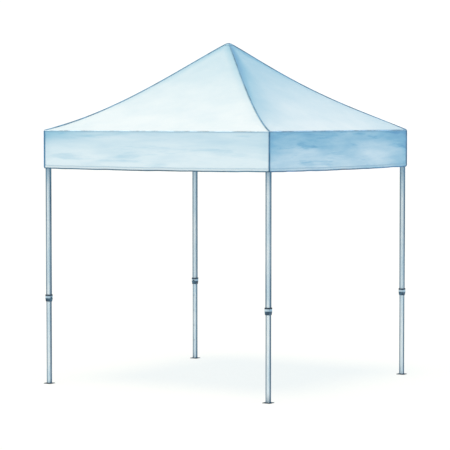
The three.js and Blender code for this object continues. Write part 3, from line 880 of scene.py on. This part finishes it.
def rivet_heads(body, spots):
    """A domed head over the end of each pin that a body has. A spot is a centre and the way it faces."""
    points, faces = [], []
    for centre, facing in spots:
        facing = np.asarray(facing, float)
        across = np.cross(facing, [0, 0, 1.0])
        first = len(points)
        for radius, rise in DOME:
            for k in range(HEAD_SIDES):
                a = 2 * math.pi * k / HEAD_SIDES
                around = math.cos(a) * across + math.sin(a) * np.array([0, 0, 1.0])
                points.append(centre + HEAD_RADIUS * radius * around + HEAD_RISE * rise * facing)
        points.append(centre + HEAD_RISE * facing)
        faces += grid_faces(len(DOME), HEAD_SIDES, first=first)
        last = first + (len(DOME) - 1) * HEAD_SIDES
        top = last + HEAD_SIDES
        faces += [(last + k, top, last + (k + 1) % HEAD_SIDES) for k in range(HEAD_SIDES)]
    fitting(mesh_object(f"rivets_{body}", points, faces, RIVET_STEEL), body)


def lug_spots(lugs, z, turns, offset):
    """Where the pins' heads are. A lug is its quarter turn, its reach and the side that its bar is on."""
    spots = []
    for turn, reach, side in lugs:
        centre = quarter(quarter([[reach, side * HEAD_OUT, z]], turn), turns, offset)[0]
        facing = quarter([[0, side, 0]], turn + turns)[0]
        spots.append((centre, facing))
    return spots


def all_rivets():
    """Heads on the hubs, the leg tops, the sliders, the middle brackets and the bars' crossings."""
    middle = (UPPER_PIVOT + LOWER_PIVOT) / 2
    for body, z, side in (("hub", UPPER_PIVOT, 1), ("lower_hub", LOWER_PIVOT, -1)):
        lugs = [(turn, LEG_REACH, side) for turn in range(4)]
        rivet_heads(body, lug_spots(lugs, z, 0, (0, 0, 0)))
    for q, corner in enumerate(CORNERS):
        for body, z, side in (("leg", UPPER_PIVOT, 1), ("slider", LOWER_PIVOT, -1)):
            lugs = ((2, LEG_REACH, -side), (3, LEG_REACH, side))
            rivet_heads(f"{body}_{corner}", lug_spots(lugs, z, q, (LEG, LEG, 0)))
    for q, side_name in enumerate(SIDES):
        for body, z, side in (("mid_upper", UPPER_PIVOT, 1), ("mid_lower", LOWER_PIVOT, -1)):
            lugs = ((1, MID_REACH, side), (3, MID_REACH, -side), (2, MID_REACH, side))
            rivet_heads(f"{body}_{side_name}", lug_spots(lugs, z, q, (LEG, 0, 0)))
        halfway = (LEG_REACH + LEG - MID_REACH) / 2
        rivet_heads(f"cross_down_{side_name}", lug_spots(((0, halfway, -1),), middle, q, (0, 0, 0)))
        for end, way in (("a", -1), ("b", 1)):
            centre = [[-HEAD_OUT, way * (LEG + MID_REACH - LEG_REACH) / 2, middle]]
            spot = (quarter(centre, q, (LEG, 0, 0))[0], quarter([[-1, 0, 0]], q)[0])
            rivet_heads(f"side_up_{side_name}_{end}", [spot])


for turns, corner in enumerate(CORNERS):
    foot_weld(corner, turns)
    leg_strap(corner, turns)
all_rivets()


# ---- Camera, floor and light ----
CAMERA_AT = (10.461, -15.895, 2.426)
CAMERA_TURN = math.radians(33.45)
CAMERA_DOWN = math.radians(3.008)
LENS = 165.1  # mm, on a sensor 36 mm wide


def camera():
    data = bpy.data.cameras.new("camera")
    data.lens = LENS
    data.sensor_width = 36
    data.clip_end = 200
    cam = bpy.data.objects.new("camera", data)
    cam.location = CAMERA_AT
    cam.rotation_euler = (math.pi / 2 - CAMERA_DOWN, 0, CAMERA_TURN)
    bpy.context.scene.collection.objects.link(cam)
    bpy.context.scene.camera = cam


def floor():
    """A white studio floor that runs into a white background."""
    p = Paint("floor")
    p.set(Base_Color=(0.225, 0.205, 0.175, 1), Roughness=0.9, Specular_IOR_Level=0.0,
          Emission_Color=(0.97, 1.0, 1.0, 1), Emission_Strength=0.82)
    corners = np.vstack([quarter([[FLOOR_HALF, FLOOR_HALF, 0]], turns) for turns in range(4)])
    mesh_object("floor", corners, [(0, 1, 2, 3)], p.material)


FLOOR_HALF = 60
SKY_NEAR = (0.57, 0.675, 0.74, 1)  # towards the front left
SKY_FAR = (0.17, 0.44, 0.67, 1)  # towards the rear right
SUN_FROM = (0.03, -0.20, 0.98)
SUN_WARM = (1.0, 0.77, 0.56)
SUN_ENERGY = 2.12
SUN_SPREAD = math.radians(30)
BACKGROUND = 1.05  # how bright the sky is to the camera


def lights():
    """A sky that is brighter at the front left, but white to the camera, and a soft warm sun from above."""
    world = bpy.data.worlds.new("studio")
    bpy.context.scene.world = world
    world.use_nodes = True
    tree = world.node_tree
    tree.nodes.clear()
    way = node(tree, "TexCoord").outputs["Generated"]
    across = node(tree, "VectorMath", {0: way, 1: (0.8, 0.5, 0.0)}, operation="DOT_PRODUCT")
    ramp = {0: across.outputs["Value"], 1: -0.35, 2: 0.60}
    share = node(tree, "MapRange", ramp, interpolation_type="SMOOTHSTEP").outputs[0]
    sky = node(tree, "Mix", {0: share, 6: SKY_NEAR, 7: SKY_FAR}, data_type="RGBA").outputs[2]
    lit = node(tree, "Background", {"Color": sky, "Strength": 1.0}).outputs[0]
    seen = node(tree, "Background", {"Color": (1, 1, 1, 1), "Strength": BACKGROUND}).outputs[0]
    to_camera = node(tree, "LightPath").outputs["Is Camera Ray"]
    blend = node(tree, "MixShader", {0: to_camera, 1: lit, 2: seen}).outputs[0]
    node(tree, "OutputWorld", {0: blend})
    sun = bpy.data.lights.new("key", "SUN")
    sun.energy = SUN_ENERGY
    sun.color = SUN_WARM
    sun.angle = SUN_SPREAD
    key = bpy.data.objects.new("key", sun)
    key.rotation_euler = Vector(SUN_FROM).to_track_quat("Z", "Y").to_euler()
    bpy.context.scene.collection.objects.link(key)


camera()
floor()
lights()
bpy.context.scene.view_settings.view_transform = "Standard"
